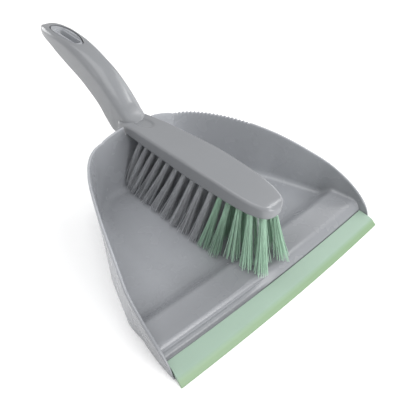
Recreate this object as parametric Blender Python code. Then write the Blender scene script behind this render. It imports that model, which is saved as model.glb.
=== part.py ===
"""A dustpan with a rubber lip and the hand brush that stores on top of its handle.

Metres, +Z up. The set stands on the pan's base with the lip towards -Y and both handles towards +Y.
The origin is on the floor under the middle of the set. Distances along the set are measured from
the line through the lip's two front corners, and at() turns them into world y.
"""

import math

import bmesh
import bpy
from mathutils import Vector
from mathutils.geometry import interpolate_bezier

# Overall
SET_LENGTH = 0.342
LIP_BOW = 0.0025  # the lip's middle stands this far in front of its corners
LIP_LINE = LIP_BOW - SET_LENGTH / 2
FIT_GAP = 0.0003  # between pieces that touch

# Pan shell
WALL = 0.0022
# How far the walls lean outward for each metre of height: (distance, lean)
WALL_LEAN = ((0.000, 0.090), (0.042, 0.090), (0.0625, 0.012), (0.100, 0.012), (0.122, 0.055), (0.190, 0.060))
RIM_DATUM = 0.060  # height at which the outline below is measured
FLOOR_Z = 0.005
PLATEAU_Z = 0.0142
SHELL_UNDERSIDE = 0.0022
RIB = 0.002
RIB_X = (-0.055, 0.0, 0.055)
# Half the outline seen from above: (half width, distance) control points of Bezier stretches.
PAN_OUTLINE = (
    ((0.1152, 0.006), (0.1159, 0.016), (0.1152, 0.030), (0.1131, 0.042)),
    ((0.1131, 0.042), (0.1119, 0.049), (0.1093, 0.055), (0.1069, 0.0625)),
    ((0.1069, 0.0625), (0.0998, 0.084), (0.0932, 0.106), (0.0848, 0.127)),
    ((0.0848, 0.127), (0.0764, 0.148), (0.0604, 0.187), (0.0340, 0.187)),
    ((0.0340, 0.187), (0.0220, 0.187), (0.0110, 0.1885), (0.0000, 0.1885)),
)
OUTLINE_STEPS = (2, 5, 3, 9, 2)
# The rim seen from the side: (distance, height).
RIM_PROFILE = (
    ((0.0075, -0.004), (0.0075, 0.003), (0.0095, 0.009), (0.0125, 0.0125)),
    ((0.0125, 0.0125), (0.0220, 0.0250), (0.0480, 0.0370), (0.0810, 0.0474)),
    ((0.0810, 0.0474), (0.0980, 0.0525), (0.1200, 0.0580), (0.1600, 0.0590)),
)
RIM_STEPS = (4, 6, 4)
RIM_BACK = (0.200, 0.0600)
# Top of the floor from the lip's seat to the back wall: (distance, height).
FLOOR_PROFILE = (
    (0.0030, 0.0008),
    (0.0172, 0.0042),
    (0.0172, 0.0072),
    (0.0196, 0.0128),
    (0.0212, PLATEAU_Z),
    (0.0470, PLATEAU_Z),
    (0.0550, FLOOR_Z + 0.0004),
    (0.0580, FLOOR_Z),
)

# Rubber lip, side profile without its seat: (distance, height)
LIP_HALF_WIDTH_FRONT = 0.1100
LIP_HALF_WIDTH_BACK = 0.1081
LIP_BACK = 0.0169
LIP_PROFILE = (
    (0.0000, 0.0000),
    (0.0027, 0.0000),
    (0.0027, 0.0008 + FIT_GAP),
    (LIP_BACK, 0.0042 + FIT_GAP),
    (LIP_BACK, 0.0075),
    (0.0090, 0.0058),
    (0.0040, 0.0038),
    (0.0012, 0.0016),
)
LIP_POCKET = ((-0.010, -0.010), (LIP_BACK + FIT_GAP, -0.010), (LIP_BACK + FIT_GAP, 0.090), (-0.010, 0.090))

# Back rim: horns beside the notch that the brush rests in, and the comb on one side
NOTCH_HALF_WIDTH = 0.0178
NOTCH_Z = 0.0572
# Horns: (half width, back, top, depth at the foot)
HORN_STATIONS = (
    (0.0178, 0.1885, 0.0665, 0.0080),
    (0.0280, 0.1878, 0.0635, 0.0066),
    (0.0375, 0.1866, 0.0605, 0.0052),
    (0.0395, 0.1860, 0.0590, 0.0026),
)
HORN_FOOT_Z = 0.0480
HORN_EDGE = 0.0012
COMB_TEETH = 20
COMB_PITCH = 0.0037
COMB_START_X = 0.0440
COMB_NOTCH = (0.0018, 0.0013)  # width, depth

# Pan handle: (distance, lower z, upper z, half width)
PAN_HANDLE = (
    (0.1862, 0.0400, 0.0565, 0.0120),
    (0.1920, 0.0445, 0.0610, 0.0112),
    (0.2000, 0.0550, 0.0705, 0.0090),
    (0.2100, 0.0665, 0.0805, 0.0088),
    (0.2260, 0.0800, 0.0925, 0.0088),
    (0.2430, 0.0890, 0.1000, 0.0088),
    (0.2590, 0.0948, 0.1053, 0.0088),
    (0.2760, 0.0990, 0.1090, 0.0088),
    (0.2900, 0.1015, 0.1108, 0.0088),
    (0.3120, 0.1040, 0.1115, 0.0086),
    (0.3220, 0.1060, 0.1110, 0.0068),
    (0.3270, 0.1070, 0.1100, 0.0040),
)
BOSS_CENTRE = 0.2950
BOSS_HALF = (0.0066, 0.0238)
BOSS_TOP = 0.1152
BOSS_FOOT = 0.1060
SLOT_CENTRE = 0.2900
SLOT_LENGTH = 0.0340
SLOT_WIDTH = 0.0070

# Brush body: (distance, half width, lower z, upper z, top corner radius)
BRUSH_STATIONS = (
    (0.0256, 0.0025, 0.0598, 0.0640, 0.0015),
    (0.0270, 0.0058, 0.0590, 0.0657, 0.0025),
    (0.0300, 0.0088, 0.0585, 0.0670, 0.0030),
    (0.0350, 0.0117, 0.0585, 0.0680, 0.0035),
    (0.0420, 0.0140, 0.0585, 0.0687, 0.0035),
    (0.0520, 0.0152, 0.0585, 0.0694, 0.0035),
    (0.0800, 0.0164, 0.0585, 0.0704, 0.0035),
    (0.1150, 0.0172, 0.0585, 0.0710, 0.0035),
    (0.1500, 0.0168, 0.0585, 0.0705, 0.0035),
    (0.1860, 0.0165, 0.0585, 0.0700, 0.0035),
    (0.1930, 0.0160, 0.0584, 0.0725, 0.0045),
    (0.1980, 0.0140, 0.0582, 0.0768, 0.0055),
    (0.2040, 0.0124, 0.0576, 0.0825, 0.0065),
    (0.2120, 0.0120, 0.0562, 0.0890, 0.0070),
    (0.2175, 0.0120, 0.0565, 0.0928, 0.0070),
    (0.2220, 0.0120, 0.0605, 0.0955, 0.0070),
    (0.2300, 0.0120, 0.0682, 0.0997, 0.0070),
    (0.2445, 0.0120, 0.0770, 0.1055, 0.0070),
    (0.2600, 0.0120, 0.0845, 0.1105, 0.0065),
    (0.2780, 0.0120, 0.0908, 0.1142, 0.0060),
    (0.2980, 0.0120, 0.0984, 0.1158, 0.0050),
    (0.3120, 0.0119, 0.1038, 0.1160, 0.0045),
    (0.3240, 0.0112, 0.1066, 0.1158, 0.0042),
    (0.3320, 0.0094, 0.1074, 0.1150, 0.0038),
    (0.3370, 0.0066, 0.1079, 0.1138, 0.0028),
    (0.3395, 0.0030, 0.1086, 0.1120, 0.0015),
)
SKIN = 0.0022
TOP_SKIN = 0.0026
ROOT_SKIN = 0.0055  # thicker under the thumb dish
ROOT_END = 0.200
HOLLOW_FRONT = 0.1800
HOLLOW_BACK = 0.3330
OVAL_HOLE_HALF = (0.0078, 0.0250)
DISH_CENTRE = (0.1790, 0.0765)  # distance and height of the ellipsoid that hollows the thumb dish
DISH_HALF = (0.0140, 0.0205, 0.0080)

# Tufts: three staggered rows of one pitch
TUFT_PITCH = 0.010
SIDE_ROW_BACK = 0.172
SIDE_ROW_COUNT = 15
MIDDLE_ROW_BACK = 0.167
MIDDLE_ROW_COUNT = 14
GREEN_FROM = 0.077  # tufts in front of this distance are green
TUFT_INSET = 0.0056  # from the block's edge to a side row's hole centres
TUFT_RADIUS = 0.0021
HOLE_RADIUS = 0.0024
HOLE_TOP_Z = 0.0665
TIP_HALF = (0.0036, 0.0031)
TIP_CLEAR = 0.0012
SIDE_SPLAY = 0.0085
# How far a tuft's tip lies behind its root: (distance of the root, offset)
FAN = ((0.032, -0.010), (0.052, -0.002), (0.082, 0.007), (0.112, 0.014), (0.132, 0.018), (0.172, 0.005))
TUFT_SIDES = 6

CUTTER_REACH = 0.130

GREY_PLASTIC = ((0.285, 0.295, 0.305), 0.35)
GREEN_RUBBER = ((0.38, 0.54, 0.43), 0.55)
GREY_BRISTLE = ((0.13, 0.14, 0.15), 0.45)
GREEN_BRISTLE = ((0.22, 0.38, 0.28), 0.45)


def at(distance):
    """World y of a point this far behind the lip's front corners."""
    return LIP_LINE + distance


def bow(x):
    """How far the front's shape swings forward at x."""
    return LIP_BOW * (1.0 - (x / LIP_HALF_WIDTH_FRONT) ** 2)


def chain(segments, steps):
    """Points along joined Bezier stretches."""
    points = []
    for (start, pull, push, end), count in zip(segments, steps):
        curve = [Vector(point) for point in (start, pull, push, end)]
        points += interpolate_bezier(*curve, count + 1)[:-1]
    points.append(Vector(segments[-1][-1]))
    return points


def between(table, distance):
    """The values of a station table at a distance, straight between its rows."""
    if distance <= table[0][0]:
        return table[0][1:]
    for low, high in zip(table, table[1:]):
        if distance <= high[0]:
            share = (distance - low[0]) / (high[0] - low[0])
            return tuple(a + (b - a) * share for a, b in zip(low[1:], high[1:]))
    return table[-1][1:]


def make_material(name, colour, roughness):
    material = bpy.data.materials.new(name)
    material.use_nodes = True
    shader = material.node_tree.nodes["Principled BSDF"]
    shader.inputs["Base Color"].default_value = (*colour, 1.0)
    shader.inputs["Roughness"].default_value = roughness
    return material


def make_collections():
    made = []
    for name in ("dustpan_and_brush", "cutters"):
        collection = bpy.data.collections.new(name)
        bpy.context.scene.collection.children.link(collection)
        made.append(collection)
    return made


def place(name, mesh, collection, material=None, parent=None):
    """An object around a mesh, in its collection."""
    piece = bpy.data.objects.new(name, mesh)
    collection.objects.link(piece)
    if material is not None:
        mesh.materials.append(material)
    if parent is not None:
        piece.parent = parent
    if material is None:
        piece.hide_render = True
        piece.display_type = "WIRE"
    return piece


def loft(name, rings, collection, material=None, parent=None):
    """A closed body through rings of equal point counts, capped at both ends."""
    shape = bmesh.new()
    loops = [[shape.verts.new(point) for point in ring] for ring in rings]
    for low, high in zip(loops, loops[1:]):
        for index in range(len(low)):
            after = (index + 1) % len(low)
            shape.faces.new((low[index], low[after], high[after], high[index]))
    shape.faces.new(list(reversed(loops[0])))
    shape.faces.new(loops[-1])
    bmesh.ops.recalc_face_normals(shape, faces=shape.faces)
    mesh = bpy.data.meshes.new(name)
    shape.to_mesh(mesh)
    shape.free()
    mesh.shade_smooth()
    mesh.set_sharp_from_angle(angle=math.radians(30))
    return place(name, mesh, collection, material, parent)


def combine(target, other, operation):
    """A Boolean that stays on the target as a modifier."""
    modifier = target.modifiers.new(operation.lower(), "BOOLEAN")
    modifier.operation = operation
    modifier.solver = "EXACT"
    modifier.object = other


def half_outline(inset, z=RIM_DATUM):
    """The pan's outline on +X at a height, front to back, moved inward by the inset."""
    points = chain(PAN_OUTLINE, OUTLINE_STEPS)
    moved = []
    for index, point in enumerate(points):
        ahead = points[min(index + 1, len(points) - 1)]
        behind = points[max(index - 1, 0)]
        along = (ahead - behind).normalized()
        inward = Vector((-along.y, along.x))
        lean = between(WALL_LEAN, point.y)[0]
        moved.append(point + inward * (inset + lean * (RIM_DATUM - z)))
    moved[-1].x = 0.0
    return moved


def outline_ring(inset, z, front=None):
    """A level ring of the outline, at the inset that the leaning wall has at this height."""
    half = half_outline(inset, z)
    if front is not None:
        half[0].y = front
    right = [Vector((point.x, at(point.y), z)) for point in half]
    left = [Vector((-point.x, point.y, z)) for point in reversed(right[:-1])]
    return right + left


def outline_prism(name, inset, z_low, z_high, front, collection, material=None):
    rings = [outline_ring(inset, z, front) for z in (z_low, z_high)]
    return loft(name, rings, collection, material)


def bowed_profile(name, profile, reach, collection, material=None, steps=8):
    """A side profile carried across the pan, swung forward along the lip's bow."""
    rings = []
    for step in range(steps + 1):
        x = reach * (2.0 * step / steps - 1.0)
        swing = bow(min(abs(x), LIP_HALF_WIDTH_FRONT))
        rings.append([Vector((x, at(distance) - swing, z)) for distance, z in profile])
    return loft(name, rings, collection, material)


def box(name, low, high, collection):
    """A block between two corners, given as (x, distance, z)."""
    shape = bmesh.new()
    bmesh.ops.create_cube(shape, size=1.0)
    for vert in shape.verts:
        share = vert.co + Vector((0.5, 0.5, 0.5))
        corner = [a + (b - a) * part for a, b, part in zip(low, high, share)]
        vert.co = Vector((corner[0], at(corner[1]), corner[2]))
    mesh = bpy.data.meshes.new(name)
    shape.to_mesh(mesh)
    shape.free()
    return place(name, mesh, collection)


def oval(name, half, centre, z_low, z_high, collection, sides=28):
    """An upright oval cylinder."""
    rings = []
    for z in (z_low, z_high):
        ring = []
        for side in range(sides):
            turn = 2.0 * math.pi * side / sides
            ring.append(Vector((half[0] * math.cos(turn), at(centre) + half[1] * math.sin(turn), z)))
        rings.append(ring)
    return loft(name, rings, collection)


def rim_profile():
    """The region under the rim, seen from the side."""
    points = [(point.x, point.y) for point in chain(RIM_PROFILE, RIM_STEPS)]
    return points + [RIM_BACK, (RIM_BACK[0], RIM_PROFILE[0][0][1])]


def cut_well(pan, cutters):
    """Takes out the space above the floor, which is open at the front."""
    well = outline_prism("well", WALL, 0.0, 0.090, -0.020, cutters)
    above = [(-0.030, 0.100), (-0.030, -0.010), (FLOOR_PROFILE[0][0], -0.010)]
    above += list(FLOOR_PROFILE) + [(0.210, FLOOR_Z), (0.210, 0.100)]
    shape = bowed_profile("well_floor", above, CUTTER_REACH, cutters)
    combine(well, shape, "INTERSECT")
    combine(pan, well, "DIFFERENCE")


def cut_underside(pan, cutters):
    """Hollows the base into ribbed bays that are open below."""
    bays = outline_prism("bays", WALL, -0.010, 0.020, 0.0205, cutters)
    roof = PLATEAU_Z - SHELL_UNDERSIDE
    low_roof = FLOOR_Z - SHELL_UNDERSIDE
    below = (
        (0.0215, -0.020),
        (0.0215, roof),
        (0.0455, roof),
        (0.0530, low_roof + 0.0004),
        (0.0560, low_roof),
        (0.1840, low_roof),
        (0.1840, -0.020),
    )
    combine(bays, bowed_profile("bay_roof", below, CUTTER_REACH, cutters), "INTERSECT")
    for index, x in enumerate(RIB_X):
        low = (x - RIB / 2, -0.010, -0.030)
        high = (x + RIB / 2, 0.220, 0.030)
        combine(bays, box(f"rib_{index}", low, high, cutters), "DIFFERENCE")
    combine(pan, bays, "DIFFERENCE")


def add_horns(pan, cutters):
    """Raises the back rim beside the notch."""
    for side in (-1, 1):
        rings = []
        for half_width, back, top, depth in HORN_STATIONS:
            section = (
                (back - depth, HORN_FOOT_Z),
                (back - HORN_EDGE, HORN_FOOT_Z),
                (back - HORN_EDGE / 2, top),
                (back - HORN_EDGE, top + HORN_EDGE / 4),
                (back - 2 * HORN_EDGE, top),
            )
            rings.append([Vector((side * half_width, at(distance), z)) for distance, z in section])
        combine(pan, loft(f"horn_{side}", rings, cutters), "UNION")


def comb_places():
    """Centres of the comb's notches along the rim, with the rim's direction there."""
    points = [point for point in reversed(half_outline(WALL / 2))]
    places = []
    wanted = None
    travelled = 0.0
    for start, end in zip(points, points[1:]):
        run = (end - start).length
        if wanted is None and end.x > COMB_START_X:
            wanted = travelled + run * (COMB_START_X - start.x) / (end.x - start.x)
        while wanted is not None and wanted <= travelled + run and len(places) < COMB_TEETH:
            share = (wanted - travelled) / run
            places.append((start.lerp(end, share), (end - start).normalized()))
            wanted += COMB_PITCH
        travelled += run
    return places


def rim_height(distance):
    """Height of the rim at a distance."""
    table = [(point.x, point.y) for point in chain(RIM_PROFILE, RIM_STEPS)] + [RIM_BACK]
    return between(table, distance)[0]


def cut_comb(pan, cutters):
    """Cuts the row of small notches that combs dust out of the bristles."""
    shape = bmesh.new()
    for place_on_rim, along in comb_places():
        cube = bmesh.ops.create_cube(shape, size=1.0)
        across = Vector((along.y, -along.x))
        top = rim_height(place_on_rim.y) + COMB_NOTCH[1]
        for vert in cube["verts"]:
            share = vert.co.copy()
            spot = place_on_rim + along * share.x * COMB_NOTCH[0] + across * share.y * 3.0 * WALL
            vert.co = Vector((spot.x, at(spot.y), top + (share.z - 0.5) * 2.0 * COMB_NOTCH[1]))
    bmesh.ops.recalc_face_normals(shape, faces=shape.faces)
    mesh = bpy.data.meshes.new("comb")
    shape.to_mesh(mesh)
    shape.free()
    combine(pan, place("comb", mesh, cutters), "DIFFERENCE")


def add_pan_handle(pan, cutters):
    """The pan's own handle, which the brush covers, with its oval boss and the hanging slot."""
    rings = []
    for distance, low, high, half in PAN_HANDLE:
        edge = 0.0015
        outline = (
            (-half, low),
            (half, low),
            (half, high - edge),
            (half - edge, high),
            (edge - half, high),
            (-half, high - edge),
        )
        rings.append([Vector((x, at(distance), z)) for x, z in outline])
    combine(pan, loft("pan_handle", rings, cutters), "UNION")
    boss = oval("boss", BOSS_HALF, BOSS_CENTRE, BOSS_FOOT, BOSS_TOP, cutters)
    combine(pan, boss, "UNION")
    slot = []
    arc_steps = 6
    radius = SLOT_WIDTH / 2
    straight = SLOT_LENGTH / 2 - radius
    for end in (1, -1):
        for step in range(arc_steps + 1):
            turn = math.pi * step / arc_steps + (0.0 if end == 1 else math.pi)
            slot.append((radius * math.cos(turn), SLOT_CENTRE + end * straight + radius * math.sin(turn)))
    rings = [[Vector((x, at(distance), z)) for x, distance in slot] for z in (0.080, 0.130)]
    combine(pan, loft("slot", rings, cutters), "DIFFERENCE")


def make_pan(parts, cutters, material):
    pan = outline_prism("pan_body", 0.0, 0.0, 0.075, 0.001, parts, material)
    combine(pan, bowed_profile("rim_cut", rim_profile(), CUTTER_REACH, cutters, steps=1), "INTERSECT")
    ledge = bowed_profile(
        "lip_seat",
        ((FLOOR_PROFILE[0][0], 0.0), (0.0230, 0.0), (0.0230, PLATEAU_Z), *reversed(FLOOR_PROFILE[:5])),
        LIP_HALF_WIDTH_BACK,
        cutters,
    )
    cut_well(pan, cutters)
    combine(pan, lip_shape("lip_pocket", LIP_POCKET, FIT_GAP, cutters), "DIFFERENCE")
    combine(pan, ledge, "UNION")
    cut_underside(pan, cutters)
    add_horns(pan, cutters)
    notch_low = (-NOTCH_HALF_WIDTH, 0.176, NOTCH_Z)
    notch_high = (NOTCH_HALF_WIDTH, 0.198, 0.090)
    combine(pan, box("brush_notch", notch_low, notch_high, cutters), "DIFFERENCE")
    add_pan_handle(pan, cutters)
    cut_comb(pan, cutters)
    return pan


def lip_shape(name, profile, grow, collection, material=None, steps=8):
    """A side profile carried across between the lip's ends, which draw in towards the back."""
    rings = []
    for step in range(steps + 1):
        share = 2.0 * step / steps - 1.0
        ring = []
        for distance, z in profile:
            narrowing = (LIP_HALF_WIDTH_FRONT - LIP_HALF_WIDTH_BACK) * distance / LIP_BACK
            x = share * (LIP_HALF_WIDTH_FRONT + grow - narrowing)
            ring.append(Vector((x, at(distance) - bow(x), z)))
        rings.append(ring)
    return loft(name, rings, collection, material)


def make_lip(parts, material):
    return lip_shape("lip", LIP_PROFILE, 0.0, parts, material)


def rounded_section(half, low, high, radius, distance, arc_steps=3):
    """A section with rounded upper corners and a small chamfer below."""
    chamfer = min(0.0015, half * 0.4)
    right = [(half - chamfer, low), (half, low + chamfer)]
    for step in range(arc_steps + 1):
        turn = 0.5 * math.pi * step / arc_steps
        x = half - radius + radius * math.cos(turn)
        right.append((x, high - radius + radius * math.sin(turn)))
    left = [(-x, z) for x, z in reversed(right)]
    return [Vector((x, at(distance), z)) for x, z in right + left]


def cut_handle_hollow(brush, cutters):
    """Opens the brush's handle from below, so that it drops over the pan's handle."""
    inside = [HOLLOW_FRONT] + [row[0] for row in BRUSH_STATIONS if HOLLOW_FRONT < row[0] < HOLLOW_BACK]
    rings = []
    for distance in inside + [HOLLOW_BACK]:
        half, low, high, radius = between(BRUSH_STATIONS, distance)
        inner = half - SKIN
        roof = high - (ROOT_SKIN if distance < ROOT_END else TOP_SKIN)
        corner = max(radius - SKIN, 0.0008)
        outline = (
            (-inner, low - 0.010),
            (inner, low - 0.010),
            (inner, roof - corner),
            (inner - corner, roof),
            (corner - inner, roof),
            (-inner, roof - corner),
        )
        rings.append([Vector((x, at(distance), z)) for x, z in outline])
    combine(brush, loft("hollow", rings, cutters), "DIFFERENCE")


def cut_thumb_dish(brush, cutters):
    """A shallow dish where the thumb rests, just in front of the handle."""
    bpy.ops.mesh.primitive_uv_sphere_add(segments=24, ring_count=24, radius=1.0)
    dish = bpy.context.object
    dish.name = "thumb_dish"
    dish.data.transform(dish.matrix_world)
    for vert in dish.data.vertices:
        vert.co = Vector([size * part for size, part in zip(DISH_HALF, vert.co)])
        vert.co += Vector((0.0, at(DISH_CENTRE[0]), DISH_CENTRE[1]))
    for collection in dish.users_collection:
        collection.objects.unlink(dish)
    cutters.objects.link(dish)
    dish.hide_render = True
    dish.display_type = "WIRE"
    combine(brush, dish, "DIFFERENCE")


def tuft_axis(row, distance):
    """Root and tip centres of a tuft, as (x, distance, z)."""
    half, low = between(BRUSH_STATIONS, distance)[:2]
    root = Vector((row * (half - TUFT_INSET), distance, low))
    tip_distance = distance + between(FAN, distance)[0]
    plateau_end = FLOOR_PROFILE[5][0] + TIP_HALF[1]
    floor = between(FLOOR_PROFILE, tip_distance - LIP_BOW)[0]
    if tip_distance < plateau_end:
        floor = PLATEAU_Z
    tip = Vector((row * (half - TUFT_INSET + SIDE_SPLAY), tip_distance, floor + TIP_CLEAR))
    return root, tip


def tuft_places():
    """Name and row of every tuft, from the handle forward."""
    places = []
    for label, row, back, count in (
        ("left", -1, SIDE_ROW_BACK, SIDE_ROW_COUNT),
        ("middle", 0, MIDDLE_ROW_BACK, MIDDLE_ROW_COUNT),
        ("right", 1, SIDE_ROW_BACK, SIDE_ROW_COUNT),
    ):
        for index in range(count):
            distance = back - TUFT_PITCH * index
            colour = "green" if distance < GREEN_FROM else "grey"
            places.append((f"tuft_{label}_{index + 1:02d}_{colour}", row, distance, colour))
    return places


def level_ring(centre, half, sides):
    """A level ring around (x, distance, z)."""
    ring = []
    for side in range(sides):
        turn = 2.0 * math.pi * side / sides
        x = centre.x + half[0] * math.cos(turn)
        ring.append(Vector((x, at(centre.y) + half[1] * math.sin(turn), centre.z)))
    return ring


def make_tufts(brush, parts, cutters, materials, parent):
    """Bundles of bristles and the holes that they are set in."""
    for name, row, distance, colour in tuft_places():
        root, tip = tuft_axis(row, distance)
        lean = (tip - root) / (root.z - tip.z)
        rings = []
        for z, grow in ((HOLE_TOP_Z - FIT_GAP, 0.0), (root.z, 0.0), (0.5 * (root.z + tip.z), 0.5), (tip.z, 1.0)):
            centre = root + lean * (root.z - z) if z < root.z else Vector((root.x, root.y, z))
            half = [TUFT_RADIUS + (wide - TUFT_RADIUS) * grow for wide in TIP_HALF]
            rings.append(level_ring(centre, half, TUFT_SIDES))
        loft(name, rings, parts, materials[colour], parent)
        hole = [level_ring(Vector((root.x, root.y, z)), (HOLE_RADIUS, HOLE_RADIUS), TUFT_SIDES)
                for z in (root.z - 0.004, HOLE_TOP_Z)]
        combine(brush, loft(f"hole_{name}", hole, cutters), "DIFFERENCE")


def make_brush(parts, cutters, material, parent):
    rings = [rounded_section(half, low, high, radius, distance)
             for distance, half, low, high, radius in BRUSH_STATIONS]
    brush = loft("brush_body", rings, parts, material, parent)
    cut_handle_hollow(brush, cutters)
    hole = oval("oval_hole", OVAL_HOLE_HALF, BOSS_CENTRE, 0.090, 0.130, cutters)
    combine(brush, hole, "DIFFERENCE")
    cut_thumb_dish(brush, cutters)
    return brush


def clear_scene():
    for piece in list(bpy.data.objects):
        bpy.data.objects.remove(piece, do_unlink=True)


def main():
    clear_scene()
    parts, cutters = make_collections()
    grey = make_material("grey_plastic", *GREY_PLASTIC)
    rubber = make_material("green_rubber", *GREEN_RUBBER)
    bristles = {
        "grey": make_material("grey_bristle", *GREY_BRISTLE),
        "green": make_material("green_bristle", *GREEN_BRISTLE),
    }
    lift = bpy.data.objects.new("brush_lift", None)
    parts.objects.link(lift)
    make_pan(parts, cutters, grey)
    make_lip(parts, rubber)
    brush = make_brush(parts, cutters, grey, lift)
    make_tufts(brush, parts, cutters, bristles, lift)


main()
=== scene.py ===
"""Visual model of a dustpan with a rubber lip and the hand brush that stores on its handle.

Metres, +Z up, lip towards -Y. Distances along the set are measured from the line through the lip's two
front corners, and at() turns them into world y.
"""

import math
import random

import bmesh
import bpy
from bpy.props import FloatProperty, FloatVectorProperty, IntProperty, PointerProperty, StringProperty
from mathutils import Matrix, Vector
from mathutils.geometry import interpolate_bezier


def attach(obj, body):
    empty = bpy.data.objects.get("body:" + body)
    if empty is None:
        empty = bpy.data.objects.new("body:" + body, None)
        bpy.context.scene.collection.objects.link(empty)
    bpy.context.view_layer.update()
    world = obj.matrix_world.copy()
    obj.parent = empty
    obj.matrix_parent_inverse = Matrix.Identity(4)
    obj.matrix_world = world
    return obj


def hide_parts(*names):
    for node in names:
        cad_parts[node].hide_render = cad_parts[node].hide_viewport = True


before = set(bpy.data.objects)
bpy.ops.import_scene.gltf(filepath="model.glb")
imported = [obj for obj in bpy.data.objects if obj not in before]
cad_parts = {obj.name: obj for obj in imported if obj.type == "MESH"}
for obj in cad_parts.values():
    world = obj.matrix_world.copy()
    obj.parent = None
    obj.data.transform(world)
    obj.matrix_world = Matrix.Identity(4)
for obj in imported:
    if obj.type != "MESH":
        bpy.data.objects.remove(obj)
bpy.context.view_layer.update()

bl_info = {
    "name": "Dustpan and brush set",
    "version": (1, 0, 0),
    "blender": (4, 5, 0),
    "location": "3D View > Sidebar > Dustpan set",
    "description": "Builds a dustpan with a rubber lip, its hand brush and a studio stage",
    "category": "Add Mesh",
}

PAN_BODY = "dustpan"
BRUSH_BODY = "brush"

# Overall
LIP_BOW = 0.0025  # the lip's middle stands this far in front of its corners
LIP_LINE = LIP_BOW - 0.342 / 2
FIT_GAP = 0.0003

# Pan shell. How far the walls lean outward for each metre of height: (distance, lean)
WALL_LEAN = ((0.000, 0.090), (0.042, 0.090), (0.0625, 0.012), (0.100, 0.012), (0.122, 0.055), (0.190, 0.060))
RIM_DATUM = 0.060  # height at which the outline below is measured
FLOOR_Z = 0.005
PLATEAU_Z = 0.0142
EDGE_ROUND = 0.0004  # chamfer on both sides of the wall's foot
WALL_SHARP = 32.0  # degrees between faces from which an edge stays sharp
BRUSH_SHARP = 34.0
LIP_SHARP = 40.0
THREAD_SHARP = 60.0
# Half the outline seen from above: (half width, distance) control points of Bezier stretches.
PAN_OUTLINE = (
    ((0.1152, 0.006), (0.1159, 0.016), (0.1152, 0.030), (0.1131, 0.042)),
    ((0.1131, 0.042), (0.1119, 0.049), (0.1093, 0.055), (0.1069, 0.0625)),
    ((0.1069, 0.0625), (0.0998, 0.084), (0.0932, 0.106), (0.0848, 0.127)),
    ((0.0848, 0.127), (0.0764, 0.148), (0.0604, 0.187), (0.0340, 0.187)),
    ((0.0340, 0.187), (0.0220, 0.187), (0.0110, 0.1885), (0.0000, 0.1885)),
)
# The rim seen from the side: (distance, height) control points.
RIM_PROFILE = (
    ((0.0075, -0.004), (0.0075, 0.003), (0.0095, 0.009), (0.0125, 0.0125)),
    ((0.0125, 0.0125), (0.0220, 0.0250), (0.0480, 0.0370), (0.0810, 0.0474)),
    ((0.0810, 0.0474), (0.0980, 0.0525), (0.1200, 0.0580), (0.1600, 0.0590)),
)
RIM_BACK = (0.200, 0.0600)
NOSE_START = 0.0075
# Wall thickness beside the lip's ends as a share of the full thickness: (distance, share)
NOSE_TAPER = ((0.0075, 0.27), (0.0169, 1.0))
# Top of the floor: (distance, height)
FLOOR_PROFILE = (
    (0.0030, 0.0008),
    (0.0170, 0.0042),
    (0.0172, 0.0062),
    (0.0192, 0.0064),
    (0.0202, 0.0071),
    (0.0208, 0.0084),
    (0.0227, 0.0122),
    (0.0232, 0.0130),
    (0.0238, 0.0137),
    (0.0244, 0.0141),
    (0.0250, PLATEAU_Z),
    (0.0435, PLATEAU_Z),
    (0.0452, 0.0138),
    (0.0470, 0.0127),
    (0.0525, 0.0075),
    (0.0545, 0.0060),
    (0.0580, FLOOR_Z),
)
# The same towards the right, where the groove behind the lip runs out into one soft slope
PLAIN_PROFILE = (
    (0.0030, 0.0008),
    (0.0170, 0.0042),
    (0.0172, 0.0070),
    (0.0182, 0.0088),
    (0.0192, 0.0103),
    (0.0202, 0.0116),
    (0.0212, 0.0126),
    (0.0222, 0.0133),
    (0.0234, 0.0138),
    (0.0250, PLATEAU_Z),
    *FLOOR_PROFILE[-6:],
)
GROOVE_FADE = (-0.034, 0.004)  # the groove runs out between these two x
# Underside of the floor: (distance, height)
UNDER_PROFILE = (
    (0.0030, 0.0000),
    (0.0206, 0.0000),
    (0.0212, 0.0112),
    (0.0222, 0.0120),
    (0.0425, 0.0120),
    (0.0520, 0.0038),
    (0.0560, 0.0028),
)
# How far the middle of each row of the floor swings forward: (distance, swing)
FLOOR_SWING = ((0.000, 0.0025), (0.030, 0.0025), (0.042, 0.0020), (0.060, 0.0020), (0.140, 0.0))
# Radius of the fillet between wall and floor: (distance, radius)
FILLET = (
    (0.0169, 0.0002),
    (0.0200, 0.0008),
    (0.0300, 0.0025),
    (0.0450, 0.0030),
    (0.0620, 0.0045),
    (0.1000, 0.0060),
)
FLOOR_COLUMNS = 36
BACK_FROM = 0.15  # behind this distance lie the notch, the raised rim and the comb's start
CAP_FROM = 0.168  # behind this distance the floor is one flat face
# Ribs under the floor. Their tops end inside the floor above them.
RIBS = ((-0.055, 0.160), (0.0, 0.176), (0.055, 0.160))  # x, back end
CROSS_RIBS = ((0.085, 0.095), (0.120, 0.080), (0.155, 0.060))  # distance, half width
RIB_TOP = ((0.0215, 0.0125), (0.0440, 0.0125), (0.0525, 0.0045), (0.0570, 0.0038))  # (distance, height)
RIB_HALF = 0.0010  # half thickness
RIB_BASE = 0.0002
RIB_HEIGHT = 0.0038
TONGUE = ((0.0030, 0.0), (0.0088, 0.0), (0.0088, 0.0020), (0.0030, 0.0008))  # below the lip
NOTCH_HALF_WIDTH = 0.0152
NOTCH_Z = 0.0572
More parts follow.
